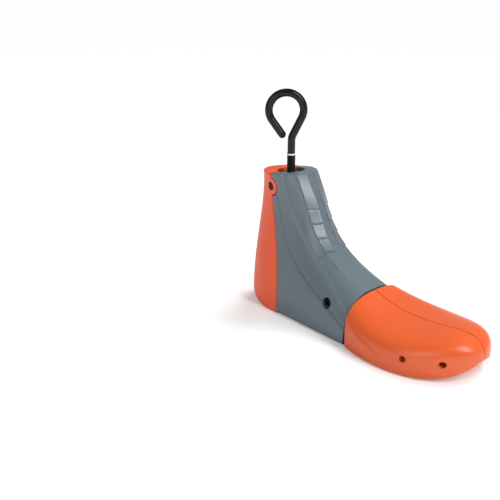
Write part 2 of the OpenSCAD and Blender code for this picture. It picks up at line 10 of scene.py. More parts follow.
import bpy
import numpy as np
from mathutils import Vector
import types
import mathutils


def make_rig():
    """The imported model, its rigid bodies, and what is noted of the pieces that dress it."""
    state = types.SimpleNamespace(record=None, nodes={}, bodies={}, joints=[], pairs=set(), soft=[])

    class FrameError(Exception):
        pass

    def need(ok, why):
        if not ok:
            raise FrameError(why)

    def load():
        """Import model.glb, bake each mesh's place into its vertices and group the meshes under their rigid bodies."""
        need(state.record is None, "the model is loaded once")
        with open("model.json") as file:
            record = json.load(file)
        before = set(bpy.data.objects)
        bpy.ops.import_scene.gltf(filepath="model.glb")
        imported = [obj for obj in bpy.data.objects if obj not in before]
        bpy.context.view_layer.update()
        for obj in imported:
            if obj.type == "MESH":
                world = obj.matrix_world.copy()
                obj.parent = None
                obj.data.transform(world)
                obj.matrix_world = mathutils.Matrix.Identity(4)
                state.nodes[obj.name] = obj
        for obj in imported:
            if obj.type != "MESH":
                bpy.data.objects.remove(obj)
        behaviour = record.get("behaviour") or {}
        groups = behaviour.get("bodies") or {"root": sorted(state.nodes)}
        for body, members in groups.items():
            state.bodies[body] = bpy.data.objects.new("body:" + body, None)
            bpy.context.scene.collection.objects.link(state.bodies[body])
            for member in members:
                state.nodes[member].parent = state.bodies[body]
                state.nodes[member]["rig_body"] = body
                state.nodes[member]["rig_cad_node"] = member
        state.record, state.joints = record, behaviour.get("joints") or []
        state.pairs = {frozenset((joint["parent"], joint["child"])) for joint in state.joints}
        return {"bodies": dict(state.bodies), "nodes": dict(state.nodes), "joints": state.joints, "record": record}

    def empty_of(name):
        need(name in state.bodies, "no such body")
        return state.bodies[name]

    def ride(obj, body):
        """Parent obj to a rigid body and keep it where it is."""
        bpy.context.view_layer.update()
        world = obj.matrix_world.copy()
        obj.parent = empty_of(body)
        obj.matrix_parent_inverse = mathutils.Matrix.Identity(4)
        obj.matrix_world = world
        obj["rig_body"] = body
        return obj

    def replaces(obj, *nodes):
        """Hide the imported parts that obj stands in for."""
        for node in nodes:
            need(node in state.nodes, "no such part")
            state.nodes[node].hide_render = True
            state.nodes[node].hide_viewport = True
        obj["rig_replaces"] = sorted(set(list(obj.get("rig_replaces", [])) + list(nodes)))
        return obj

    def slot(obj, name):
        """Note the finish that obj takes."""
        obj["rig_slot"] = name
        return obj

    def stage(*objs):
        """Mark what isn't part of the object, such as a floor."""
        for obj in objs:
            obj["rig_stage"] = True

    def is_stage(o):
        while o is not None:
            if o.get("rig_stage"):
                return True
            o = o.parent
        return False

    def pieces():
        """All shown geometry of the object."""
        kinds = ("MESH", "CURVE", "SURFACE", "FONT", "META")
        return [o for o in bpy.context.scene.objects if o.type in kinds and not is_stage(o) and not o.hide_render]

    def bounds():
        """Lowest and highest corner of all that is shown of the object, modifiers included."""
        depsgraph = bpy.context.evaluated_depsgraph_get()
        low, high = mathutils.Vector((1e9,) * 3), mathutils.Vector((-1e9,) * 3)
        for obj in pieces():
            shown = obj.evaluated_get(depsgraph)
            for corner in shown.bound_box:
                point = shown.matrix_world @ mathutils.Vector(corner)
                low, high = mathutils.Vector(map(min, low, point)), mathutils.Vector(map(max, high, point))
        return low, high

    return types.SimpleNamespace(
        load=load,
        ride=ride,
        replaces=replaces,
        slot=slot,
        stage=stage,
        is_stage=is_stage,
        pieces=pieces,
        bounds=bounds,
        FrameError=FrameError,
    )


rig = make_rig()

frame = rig.load()
cad_box = [list(corner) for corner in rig.bounds()]
nodes = frame["nodes"]
MM = 0.001
LENGTH = 250.0
print("solids in the frame:", len(nodes))

# %% [markdown]
# ## The camera
# The object is seen from its right front, a little from above. A long-ish lens held under a
# metre away gives the mild perspective of a catalogue picture. The aim point is off the object's
# middle, because the object stands in the right half of the picture.

# %% Camera
CAMERA_AT = (509.16, -496.43, 307.69)
CAMERA_AIM = (47.35, -61.88, 68.54)
LENS = 54.884


def placed(point):
    """A point measured from the heel's back, in metres in the frame's coordinates."""
    return np.array([point[0] - LENGTH / 2, point[1], point[2]]) * MM


def look_from(at, aim):
    """Matrix of an object at one point whose -Z axis looks at another, with its top upwards."""
    at, aim = Vector(placed(at)), Vector(placed(aim))
    turn = (aim - at).to_track_quat("-Z", "Y").to_matrix().to_4x4()
    turn.translation = at
    return turn


scene = bpy.context.scene
camera = bpy.data.objects.new("camera", bpy.data.cameras.new("camera"))
scene.collection.objects.link(camera)
camera.matrix_world = look_from(CAMERA_AT, CAMERA_AIM)
camera.data.lens = LENS
camera.data.sensor_width = 36
camera.data.clip_start, camera.data.clip_end = 0.01, 100
scene.camera = camera
scene.view_settings.view_transform = "Standard"
print("camera lens", LENS)


# %% [markdown]
# ## Colour and nodes
# Colours are written as they look on a screen, in hex, and one function turns them into the
# linear values that the renderer works in. A second small helper adds a shader node with its
# settings and links in one line.

# %% Helpers for materials
def linear(hex_code):
    """Linear RGBA of an sRGB hex colour."""
    c = np.array([int(hex_code[i : i + 2], 16) for i in (1, 3, 5)]) / 255
    c = np.where(c <= 0.04045, c / 12.92, ((c + 0.055) / 1.055) ** 2.4)
    return (*c.tolist(), 1.0)


def add(tree, kind, settings=None, **links):
    """A node of one kind. A link is a socket to take from, and any other value is written in."""
    node = tree.nodes.new("ShaderNode" + kind)
    for name, value in (settings or {}).items():
        setattr(node, name, value)
    for name, value in links.items():
        key = int(name[1:]) if name[0] == "_" and name[1:].isdigit() else name.replace("_", " ")
        socket = node.inputs[key]
        if isinstance(value, bpy.types.NodeSocket):
            tree.links.new(value, socket)
        else:
            socket.default_value = value
    return node


def new_material(name):
    """An empty material with its output, its Principled shader and its Object coordinates."""
    material = bpy.data.materials.new(name)
    material.use_nodes = True
    tree = material.node_tree
    tree.nodes.clear()
    shader = add(tree, "BsdfPrincipled")
    add(tree, "OutputMaterial", Surface=shader.outputs[0])
    place = add(tree, "TexCoord").outputs["Object"]
    return material, tree, shader, place


def between(tree, amount, dark, light):
    """Colour socket that goes from one hex colour to another with an amount of 0 to 1."""
    node = add(tree, "Mix", {"data_type": "RGBA"}, Factor=amount, _6=linear(dark), _7=linear(light))
    return node.outputs[2]


# %% [markdown]
# ## The moulded plastics
# Both big colours are injection-moulded ABS. A mould leaves three things on such a part: a faint
# grain of about half a millimetre from its spark-eroded surface, slow shifts of tone where the
# melt flowed, and a gloss that is a little uneven. The grain is drawn 0.9 mm coarse so that it
# shows, and is shallow.

# %% Moulded ABS
def moulded_plastic(name, dark, light, roughness, grain_mm=0.9, depth_mm=0.02):
    """Plastic whose colour drifts between two near tones, with a shallow grain in its gloss."""
    material, tree, shader, place = new_material(name)
    flow = add(tree, "TexNoise", Vector=place, Scale=1 / (45 * MM), Detail=2.0)
    tone = between(tree, flow.outputs["Fac"], dark, light)
    grain = add(tree, "TexNoise", Vector=place, Scale=1 / (grain_mm * MM), Detail=1.0)
    bump = add(tree, "Bump", Height=grain.outputs["Fac"], Strength=0.35, Distance=depth_mm * MM)
    gloss = add(tree, "MapRange", Value=flow.outputs["Fac"], To_Min=roughness - 0.04, To_Max=roughness + 0.05)
    tree.links.new(tone, shader.inputs["Base Color"])
    tree.links.new(gloss.outputs[0], shader.inputs["Roughness"])
    tree.links.new(bump.outputs[0], shader.inputs["Normal"])
    shader.inputs["IOR"].default_value = 1.53
    return material


orange_abs = moulded_plastic("glossy_orange_abs", "#d65723", "#da5a26", 0.3)
heel_abs = moulded_plastic("satin_orange_abs", "#e85425", "#ec5728", 0.42)
grey_abs = moulded_plastic("satin_slate_abs", "#5d6a71", "#626f76", 0.28)
black_nylon = moulded_plastic("black_glass_nylon", "#19191b", "#232325", 0.5)
white_nylon = moulded_plastic("white_nylon", "#e4e4df", "#efefeb", 0.4)
print("plastics ready")

# %% [markdown]
# ## The metals
# The hook is steel rod under a smooth black coat, so it reads as a dark plastic with a clear
# glossy film. The hidden shafts and screws are zinc plated: a pale metal whose plating gives a
# soft, slightly streaked reflection along the drawn bar.

# %% Coated and plated steel
def coated_steel(name, colour):
    """Black coat over steel: a dark base, a clear film and a very fine unevenness in it."""
    material, tree, shader, place = new_material(name)
    waves = add(tree, "TexNoise", Vector=place, Scale=1 / (1.5 * MM), Detail=1.0)
    bump = add(tree, "Bump", Height=waves.outputs["Fac"], Strength=0.1, Distance=0.02 * MM)
    shader.inputs["Base Color"].default_value = linear(colour)
    shader.inputs["Roughness"].default_value = 0.2
    shader.inputs["Specular IOR Level"].default_value = 0.25
    shader.inputs["Coat Weight"].default_value = 0.12
    shader.inputs["Coat Roughness"].default_value = 0.06
    tree.links.new(bump.outputs[0], shader.inputs["Normal"])
    return material


def plated_steel(name, dark, light):
    """Zinc-plated bar: metal with fine cloudy streaks in its tone and its polish."""
    material, tree, shader, place = new_material(name)
    cloud = add(tree, "TexNoise", Vector=place, Scale=1 / (3 * MM), Detail=4.0)
    tone = between(tree, cloud.outputs["Fac"], dark, light)
    gloss = add(tree, "MapRange", Value=cloud.outputs["Fac"], To_Min=0.24, To_Max=0.4)
    tree.links.new(tone, shader.inputs["Base Color"])
    tree.links.new(gloss.outputs[0], shader.inputs["Roughness"])
    shader.inputs["Metallic"].default_value = 1.0
    return material


black_steel = coated_steel("black_coated_steel", "#08080a")
zinc_steel = plated_steel("zinc_plated_steel", "#9da0a4", "#c3c5c8")
print("metals ready")

# %% [markdown]
# ## Finishes of the hidden works
# The solids of the mechanism already have the right shape, so they stay and only get a finish.

# %% Finish the carried-over solids
FINISHES = {
    black_nylon: ["guide_frame", "toe_carrier", "cam_block", "push_yoke", "cam_plate"],
    black_steel: ["hinge_pins", "cross_pin", "nut_plate"],
    zinc_steel: [
        "drive_nut", "nut_plate_screws", "frame_screws", "rod_bush", "guide_rods", "thrust_washers",
        "retaining_clip", "push_rod", "yoke_pin", "cam_plate_screw", "heel_cam_pin",
        "toe_left_pin", "toe_right_pin",
    ],
    white_nylon: ["depth_ring"],
}
for finish, names in FINISHES.items():
    for name in names:
        for slot in nodes[name].material_slots:
            slot.material = finish
print("finished", sum(map(len, FINISHES.values())), "solids")


# %% [markdown]
# ## Meshes from grids
# Every skin here is a grid of points worked out with numpy. A moulded shell is two such grids,
# an outer and an inner one, joined along their open edges, so that it has a real wall. The
# solids are made in the same way with a coarser grid, which is why the two agree.

# %% Grid helpers
def smooth_step(x, low, high):
    """0 below low, 1 above high and an S-curve between."""
    t = np.clip((x - low) / (high - low), 0, 1)
    return t * t * (3 - 2 * t)


def mix(a, b, t):
    """Straight blend from a to b."""
    return a + (b - a) * t


def bezier(c, t):
    """Cubic curve over t from four control values."""
    return c[0] * (1 - t) ** 3 + 3 * c[1] * t * (1 - t) ** 2 + 3 * c[2] * t * t * (1 - t) + c[3] * t**3


def normals(grid):
    """Unit normals of a grid: the cross product of its two directions."""
    n = np.cross(np.gradient(grid, axis=1), np.gradient(grid, axis=0))
    return n / np.maximum(np.linalg.norm(n, axis=2, keepdims=True), 1e-9)


def new_piece(name, points, faces, material, smooth=35):
    """Mesh object from points measured from the heel's back, sharp where faces meet steeply."""
    mesh = bpy.data.meshes.new(name)
    points = (np.asarray(points, float) - [LENGTH / 2, 0, 0]) * MM
    mesh.from_pydata(points.tolist(), [], faces)
    mesh.materials.append(material)
    mesh.update()
    piece = bpy.data.objects.new(name, mesh)
    scene.collection.objects.link(piece)
    if smooth:
        mesh.shade_smooth()
        mesh.set_sharp_from_angle(angle=math.radians(smooth))
    return piece


def grid_faces(rows, columns, start=0, wrap=False, flip=False):
    """Quads of a grid of points, row by row, closed round its columns if wrapped."""
    i = np.arange(rows - 1)[:, None] * columns
    j = np.arange(columns if wrap else columns - 1)[None, :]
    k = (j + 1) % columns
    quads = np.stack([i + j, i + k, i + columns + k, i + columns + j], -1).reshape(-1, 4) + start
    return (quads[:, ::-1] if flip else quads).tolist()


def shell(name, outer, inner, material, open_start=False):
    """Closed wall between two grids: both skins, a rim on each open edge, and the end caps."""
    rows, n = outer.shape[:2]
    m = rows * n
    last = m - n
    i = np.arange(rows - 1) * n
    j = np.arange(n - 1)
    faces = grid_faces(rows, n) + grid_faces(rows, n, m, flip=True)
    faces += np.stack([m + i, i, i + n, m + i + n], -1).tolist()
    faces += np.stack([i + n - 1, m + i + n - 1, m + i + 2 * n - 1, i + 2 * n - 1], -1).tolist()
    faces += [[last, last + n - 1, m + last + n - 1, m + last]]
    faces += [list(range(last, m)), list(range(m + m - 1, m + last - 1, -1))]
    if open_start:
        faces += np.stack([m + j, m + j + 1, j + 1, j], -1).tolist()
    else:
        faces += [[m, m + n - 1, n - 1, 0], list(range(n - 1, -1, -1)), list(range(m, m + n))]
    points = np.concatenate([outer.reshape(-1, 3), inner.reshape(-1, 3)])
    return new_piece(name, points, faces, material)


def turned(name, profile, base, axis, material, sides=64):
    """Body of revolution. The profile is a closed loop of (along, radius) round the axis."""
    profile = np.asarray(profile, float)
    along, radius = profile[:, 0:1], profile[:, 1:2]
    angle = np.linspace(0, 2 * np.pi, sides, endpoint=False)[None, :]
    side = {"x": (1, 2, 0), "y": (2, 0, 1), "z": (0, 1, 2)}[axis]
    grid = np.zeros((len(profile), sides, 3))
    grid[..., side[0]] = radius * np.cos(angle)
    grid[..., side[1]] = radius * np.sin(angle)
    grid[..., side[2]] = along
    grid += np.asarray(base, float)
    rows = len(profile)
    faces = grid_faces(rows, sides, wrap=True)
    if profile[0, 1] > 0 and not np.allclose(profile[0], profile[-1]):
        faces += [list(range(sides - 1, -1, -1)), list(range((rows - 1) * sides, rows * sides))]
    return new_piece(name, grid.reshape(-1, 3), faces, material)


def prism(name, outline, axis, low, high, material, bevel=0.4):
    """Flat outline pushed out along an axis, with its edges eased by a small bevel."""
    outline = np.asarray(outline, float)
    n = len(outline)
    area = np.sum(outline[:, 0] * np.roll(outline[:, 1], -1) - outline[:, 1] * np.roll(outline[:, 0], -1))
    turn = (area > 0) != (axis == "y")
    if not turn:
        outline = outline[::-1]
    across = {"x": (1, 2, 0), "y": (0, 2, 1), "z": (0, 1, 2)}[axis]
    points = np.zeros((2 * n, 3))
    points[:, across[0]] = np.tile(outline[:, 0], 2)
    points[:, across[1]] = np.tile(outline[:, 1], 2)
    points[:, across[2]] = np.repeat([low, high], n)
    i = np.arange(n)
    k = (i + 1) % n
    faces = np.stack([i, k, k + n, i + n], -1).tolist()
    faces += [list(range(n - 1, -1, -1)), list(range(n, 2 * n))]
    piece = new_piece(name, points, faces, material)
    if bevel:
        edge = piece.modifiers.new("eased_edges", "BEVEL")
        edge.width, edge.segments = bevel * MM, 2
        edge.harden_normals = True
    return piece


def settle(piece, smooth=35):
    """Applies a piece's modifiers to its mesh and marks its steep edges sharp."""
    graph = bpy.context.evaluated_depsgraph_get()
    mesh = bpy.data.meshes.new_from_object(piece.evaluated_get(graph))
    piece.modifiers.clear()
    old, piece.data = piece.data, mesh
    bpy.data.meshes.remove(old)
    mesh.name = piece.name
    mesh.shade_smooth()
    mesh.set_sharp_from_angle(angle=math.radians(smooth))
    return piece


def joined(pieces, name):
    """Several settled pieces as one object."""
    for piece in pieces:
        if piece.modifiers:
            settle(piece)
    with bpy.context.temp_override(
        active_object=pieces[0], object=pieces[0], selected_editable_objects=pieces, selected_objects=pieces
    ):
        bpy.ops.object.join()
    pieces[0].name = pieces[0].data.name = name
    return pieces[0]


def carve(piece, cutters, operation="DIFFERENCE"):
    """Cuts closed shapes out of a piece, with the exact solver, and removes them."""
    cutter = joined(cutters, "cutter") if len(cutters) > 1 else cutters[0]
    step = piece.modifiers.new("carve", "BOOLEAN")
    step.operation, step.solver, step.object = operation, "EXACT", cutter
    settle(piece)
    bpy.data.objects.remove(cutter)
    return piece


def rod(name, axis, base, low, high, radius, material, sides=64):
    """Plain round bar along an axis."""
    return turned(name, [(low, radius), (high, radius)], base, axis, material, sides)


# %% [markdown]
# ## The ankle form
# The grey body and the orange heel are one sculpted form cut in two: a stack of level sections
# that runs from a broad sole to a slim ankle. Behind its widest place each section is half an
# ellipse, and in front it is a fuller curve. Four curves over the height steer it: the heel
# line, the instep, the half width and how full the sections are. The flat top of both pieces
# climbs a little towards the front.

# %% Sections of the ankle form
HEIGHT, RIM_X, RIM_Z, SOLE_R = 128.0, 138.0, 41.5, 12.3
PIVOT_X, PIVOT_Z, EAR_R, SEAT_R = 29.5, 115.4, 8.3, 9.3
STEM_X, RECESS_R, RECESS_FLOOR, CUT_TOP = 36.7, 13.0, 124.7, 136.0
BODY_CLIMB, HEEL_CLIMB = 6, 3
PART_GAP, SWING = 0.6, math.radians(7)


def section(z):
    """Back, centre, front, half width, two roundings and the widening of the section at z."""
    t = z / HEIGHT
    k = np.maximum(0, 1 - z / SOLE_R)
    back = bezier([2.3, -4.4, 5.3, 8.0], t) + SOLE_R * (1 - np.sqrt(1 - k * k))
    front = bezier([138, 72, 86.5, 60], (z - RIM_Z) / (HEIGHT - RIM_Z))
    centre = back + (front - back) * (0.11 + 0.48 * t)
    half = bezier([33.75, 31.95, 12.4, 22], t)
    return back, centre, front, half, 0.42 + 0.36 * t, 0.5 + 0.35 * t, 0.2 - 0.18 * t


def side_y(z, x):
    """Half width of the form at height z and place x."""
    back, centre, front, half, ef, eg, k = section(z)
    behind = half * np.sqrt(np.maximum(0, 1 - ((centre - x) / (centre - back)) ** 2))
    f = np.clip((x - centre) / (front - centre), 0, 1)
    ahead = half * np.maximum(0, 1 - f ** (2 / ef)) ** (eg / 2) * (1 + k * (x - centre) / (RIM_X - centre))
    return np.where(x < centre, behind, ahead)


def nose_x(z, y):
    """Place along the foot of the form's front at height z and half width y."""
    back, centre, front, half, ef, eg, k = section(z)
    x = front
    for _ in range(8):
        full = half * (1 + k * (x - centre) / (RIM_X - centre))
        x = centre + (front - centre) * np.maximum(0, 1 - np.clip(y / full, 0, 1) ** (2 / eg)) ** (ef / 2)
    return x


def heel_edge(z):
    """Line between heel and body: a steep curve, which swells round the hinge ear."""
    line = np.where(z > PIVOT_Z, PIVOT_X, bezier([53.1, 53.6, 30.8, 27.3], z / HEIGHT))
    ear = PIVOT_X + np.sqrt(np.maximum(0, EAR_R**2 - (z - PIVOT_Z) ** 2))
    return np.where(np.abs(z - PIVOT_Z) < EAR_R, np.maximum(line, ear), line)


def body_edge(z):
    """The body's own edge: a gap, a round seat for the ear, and room above it for the swing."""
    line = heel_edge(z) + PART_GAP + np.maximum(0, z - PIVOT_Z) * math.sin(SWING)
    seat = PIVOT_X + np.sqrt(np.maximum(0, SEAT_R**2 - (z - PIVOT_Z) ** 2))
    return np.where(np.abs(z - PIVOT_Z) < SEAT_R, np.maximum(line, seat), line)


def eased(distance, radius):
    """How far a rounded edge draws the surface in, at a distance from that edge."""
    k = np.clip(radius - distance, 0, radius)
    return radius - np.sqrt(np.maximum(0, radius**2 - k**2))


def sloped(grid, slope):
    """Tilts the top of a grid: it climbs forward from the hinge, and less so further down."""
    s = np.clip((grid[..., 2] - PIVOT_Z) / (HEIGHT - PIVOT_Z), 0, None)
    rise = math.tan(math.radians(slope)) * (grid[..., 0] - PIVOT_X) * s**2
    return grid + rise[..., None] * [0, 0, 1.0]


def edge_steps(radius, count, length=1.0):
    """Places from 0 to length: a few close ones inside an eased edge, then even ones."""
    close = radius * np.array([0, 0.1, 0.3, 0.6, 1.0])
    return np.concatenate([close, np.linspace(radius, length, count)[1:]])


print("ankle form", HEIGHT, "mm high")

# %% [markdown]
# ## The relief on the body
# The body's front is sculpted: a band sweeps from the hinge down to the rim with a crisp crease
# behind it, a hollow panel lies in front of it, and a strip of flat, stepped facets runs down
# each front corner beside a narrow channel. It could be a bump texture, but such relief is seen
# in the outline and in the mesh itself, so it is real depth here, level by level.

# %% Relief as depth below the surface
BAND_BACK = ([36, 56, 72, 142], [116, 50, 50, 13.5])
BAND_FRONT = ([45, 58, 88, 142], [128, 76, 62, 22])
STRIP_TOP, STRIP_Z, STRIP_END = HEIGHT + 3, [101, 89, 77.7, 66.8], 54.0
STRIP_IN, STRIP_OUT = 4.3, 13.4
BAND_RISE, CREASE_DEPTH, PANEL_DEPTH, FACET_LEAN, STEP_DEPTH, CHANNEL_DEPTH = 0.5, 0.8, 1.4, 0.85, 0.5, 0.8


def line_height(curve, x):
    """Height of a curve drawn by its control points in X and Z, at places x along it."""
    t = np.linspace(0, 1, 200)
    return np.interp(x, bezier(curve[0], t), bezier(curve[1], t))


def line_distance(curve, x, z):
    """Signed distance above such a curve, from its height and its slope."""
    slope = line_height(curve, x + 0.5) - line_height(curve, x - 0.5)
    return (z - line_height(curve, x)) / np.sqrt(1 + slope**2)


def body_relief(x, y, z):
    """Depth of the sculpted lines at a point: positive is below the plain surface.

    A facet of the strip is the straight chord between its two edges, tilted so that its foot
    stands proud of the next one.
    """
    y = np.abs(y)
    behind = line_distance(BAND_BACK, x, z)
    ahead = line_distance(BAND_FRONT, x, z)
    crease = CREASE_DEPTH * (1 - smooth_step(np.abs(behind + 0.4), 0, 1.0))
    band = -BAND_RISE * smooth_step(behind, 0, 0.8) * (1 - smooth_step(ahead, -0.5, 0.3))
    panel = PANEL_DEPTH * smooth_step(ahead, 0, 1.2) * (1 - 0.5 * smooth_step(ahead, 1, 14))
    panel *= smooth_step(y, STRIP_OUT, STRIP_OUT + 0.9)
    panel *= 0.45 + 0.55 * smooth_step(z + 0.5 * (y - 16), 62.5, 64.5)
    narrow = mix(STRIP_OUT, STRIP_IN, smooth_step(z, 53, 64))
    strip = smooth_step(y, narrow - 0.4, narrow + 0.4) * (y < STRIP_OUT + 0.1) * smooth_step(z, 53, 56)
    edge_in, edge_out = nose_x(z, STRIP_IN), nose_x(z, STRIP_OUT)
    chord = STRIP_OUT - STRIP_IN
    flat = x - mix(edge_in, edge_out, (y - STRIP_IN) / chord)
    flat *= chord / np.hypot(chord, edge_in - edge_out)
    steps = np.where(strip > 0, np.maximum(0, flat), 0)
    for top, foot in zip([STRIP_TOP] + STRIP_Z, STRIP_Z + [STRIP_END]):
        lean = FACET_LEAN * (top - z) / (top - foot)
        steps = np.where((z <= top) & (z > foot), steps - lean, steps)
    for foot in STRIP_Z:
        steps += STEP_DEPTH * (1 - smooth_step(np.abs(z - foot + 0.5), 0.3, 0.9))
    channel = CHANNEL_DEPTH * (1 - smooth_step(y, STRIP_IN - 0.6, STRIP_IN)) * smooth_step(z, 66, 71)
    ridge_half = mix(12.5, 2.5, smooth_step(z, 40, 62))
    ridge = -BAND_RISE * (1 - smooth_step(y, ridge_half - 0.7, ridge_half + 0.7)) * (1 - smooth_step(z, 64, 70))
    skirt = 0.14 * np.maximum(0, 11 + 0.02 * (x - 55) - z)
    return crease + band + panel + strip * steps + channel + ridge + skirt


# %% [markdown]
# ## The grey body shell
# Each level runs from the edge beside the heel, along the side, round the front and back again.
# The grid overshoots the front rim by 4 mm, and one cut with a box makes the rim, because a
# clean plane through both skins leaves an even wall.

# %% Body shell
BODY_WALL, OVERSHOOT = 2.8, 4.0


def body_half(z, draw_in, side_steps, nose_steps):
    """Half of a level: points along the side by x, then round the nose by y."""
    back, centre, front, half, ef, eg, k = section(z)
    slope = section(z + 0.5)[2] - section(z - 0.5)[2]
    front = front - draw_in * np.sqrt(1 + slope**2)
    limit = RIM_X + OVERSHOOT - draw_in / 2
    edge = body_edge(z)
    x_turn = np.minimum(limit, centre + 0.82 * (front - centre))
    x_side = edge + (x_turn - edge) * (side_steps / side_steps[0, -1])
    half = half - draw_in
    widen = 1 + k * (x_side - centre) / (RIM_X - centre)
    f = np.clip((x_side - centre) / (front - centre), 0, 1)
    ahead = half * np.maximum(0, 1 - f ** (2 / ef)) ** (eg / 2) * widen
    behind = half * np.sqrt(np.maximum(0, 1 - ((centre - x_side) / (centre - back - draw_in)) ** 2))
    y_side = np.where(x_side < centre, behind, ahead)
    y_turn = y_side[:, -1:]
    full = half * (1 + k * (x_turn - centre) / (RIM_X - centre))
    y_nose = y_turn * np.cos(nose_steps * np.pi / 2)
    q = np.clip(y_nose / full, 0, 1) ** (2 / eg)
    x_nose = np.minimum(limit, centre + (front - centre) * np.maximum(0, 1 - q) ** (ef / 2))
    x_nose = np.maximum(x_turn, x_nose)
    x, y = np.concatenate([x_side, x_nose], 1), np.concatenate([y_side, y_nose], 1)
    return x, y


def both_sides(x, y, z, side):
    """Whole level from its half, from one open edge round to the other."""
    z = np.broadcast_to(z, x.shape)
    near = np.stack([x, -side * y, z], -1)
    far = np.stack([x, side * y, z], -1)[:, -2::-1]
    return np.concatenate([near, far], 1)


TOP_R, SOLE_EDGE_R, EDGE_R = 0.9, 1.8, 0.6
body_z = np.concatenate([
    SOLE_EDGE_R * (1 - np.cos(np.linspace(0, np.pi / 2, 5))), np.linspace(SOLE_EDGE_R, HEIGHT - TOP_R, 196)[1:],
    HEIGHT - TOP_R + TOP_R * np.sin(np.linspace(0, np.pi / 2, 5))[1:],
])[:, None]
side_steps = edge_steps(EDGE_R, 46, 70.0)[None, :]
nose_steps = np.linspace(0, 1, 52)[None, 1:]
x, y = body_half(body_z, 0, side_steps, nose_steps)
outer = both_sides(x, y, body_z, 1)
edge_distance = np.abs(outer[..., 0] - body_edge(body_z))
depth = body_relief(outer[..., 0], outer[..., 1], outer[..., 2])
fade_out = smooth_step(edge_distance, 0, 3)
depth = depth * fade_out + eased(edge_distance, EDGE_R)
depth += eased(body_z, SOLE_EDGE_R) + eased(HEIGHT - body_z, TOP_R)
level_normal = normals(outer)
level_normal[..., 2] = 0
level_normal /= np.maximum(np.linalg.norm(level_normal, axis=2, keepdims=True), 1e-9)
outward = np.sign(np.sum(level_normal * (outer - [60, 0, 0]), axis=2).mean())
outer = sloped(outer - outward * level_normal * depth[..., None], BODY_CLIMB)
inner_z = np.where(body_z < 15, mix(BODY_WALL, 15, body_z / 15), body_z)
inner_z = np.where(body_z > PIVOT_Z, mix(PIVOT_Z, 122, (body_z - PIVOT_Z) / (HEIGHT - PIVOT_Z)), inner_z)
x, y = body_half(inner_z, BODY_WALL, side_steps, nose_steps)
inner = both_sides(x, y, inner_z, 1)
body_form = shell("body_form", outer, inner, grey_abs)
print("body grid", outer.shape, "faces", len(body_form.data.polygons))

# %% [markdown]
# ## Recess, bores and rim
# The ankle top has a shallow round recess round the screw, the sides have a hole for the cross
# pin, and the front is open. Each is one closed cutter taken away with the exact solver. The
# recess floor runs on behind as a round tongue, which the heel's collar swings round.

# %% Cut the body shell
HOLE_X, HOLE_Z, HOLE_R, STEM_HOLE_R = 113.5, 29.5, 5.0, 4.3
box_x = [[RIM_X, -60], [RIM_X + 20, -60], [RIM_X + 20, 60], [RIM_X, 60]]
carve(body_form, [
    prism("cut", box_x, "z", -5, 80, grey_abs, 0),
    rod("cut", "z", (STEM_X, 0, 0), RECESS_FLOOR, CUT_TOP, RECESS_R, grey_abs, 96),
    rod("cut", "y", (HOLE_X, 0, HOLE_Z), -45, 45, HOLE_R, grey_abs, 48),
])


def stem_hole():
    """Cutter for the hole that the hook's stem passes through."""
    return rod("cut", "z", (STEM_X, 0, 0), 118, 130, STEM_HOLE_R, grey_abs, 48)


carve(body_form, [stem_hole()])
print("body faces after cutting", len(body_form.data.polygons))

# %% [markdown]
# ## Works inside the body
# The nut housing, the hinge lugs and the bosses are ribs of the same moulding. They only show
# through gaps and when the heel swings away, so plain eased blocks are enough.

# %% Housing, lugs and bosses
def disc(x, z, radius, start, stop, steps):
    """Points of an arc in X and Z, from one angle to another in degrees."""
    a = np.radians(np.linspace(start, stop, steps))
    return np.stack([x + radius * np.cos(a), z + radius * np.sin(a)], 1)


def lug(side):
    """Hinge lug on one side: it hangs from the deck and ends in a round eye."""
    eye = disc(PIVOT_X, PIVOT_Z, EAR_R, 180, 335, 20)
    outline = np.concatenate([[[50, DECK_Z], [PIVOT_X - EAR_R, DECK_Z]], eye, [[50, 118]]])
    low, high = sorted((side * 8.4, side * 12.3))
    return prism("lug", outline, "y", low, high, grey_abs)


DECK_Z, TONGUE_X = 122.4, 31
tongue = rod("tongue", "z", (TONGUE_X, 0, 0), 122, RECESS_FLOOR, RECESS_R + 2.5, grey_abs, 96)
housing = prism("housing", [[24, -9], [50, -9], [50, 9], [24, 9]], "z", 113.5, DECK_Z, grey_abs)
carve(tongue, [stem_hole()])
hex_cut = rod("cut", "z", (STEM_X, 0, 0), 110, 120.3, 6.6 / math.cos(math.pi / 6), grey_abs, 6)
carve(settle(housing), [hex_cut])
carve(housing, [stem_hole()])
pin_boss = [[19.5, 5.0], [19.5, 7.5], [28.0, 7.5], [28.0, 5.0], [19.5, 5.0]]
bosses = [turned("boss", np.array(pin_boss)[::s] * [s, 1], (HOLE_X, 0, HOLE_Z), "y", grey_abs) for s in (1, -1)]
feet = [rod("foot", "z", (x, y, 0), 2.6, 6, 4, grey_abs, 32) for x in (62, 90) for y in (-7.6, 7.6)]
body_works = joined([tongue, housing, lug(1), lug(-1), *bosses, *feet], "body_works")
print("body works faces", len(body_works.data.polygons))

# %% [markdown]
# ## The lip round the front rim
# A moulded rim has a small rounded lip, which catches the light as a thin pale line. It is a
# half-round profile carried along the arch of the rim.

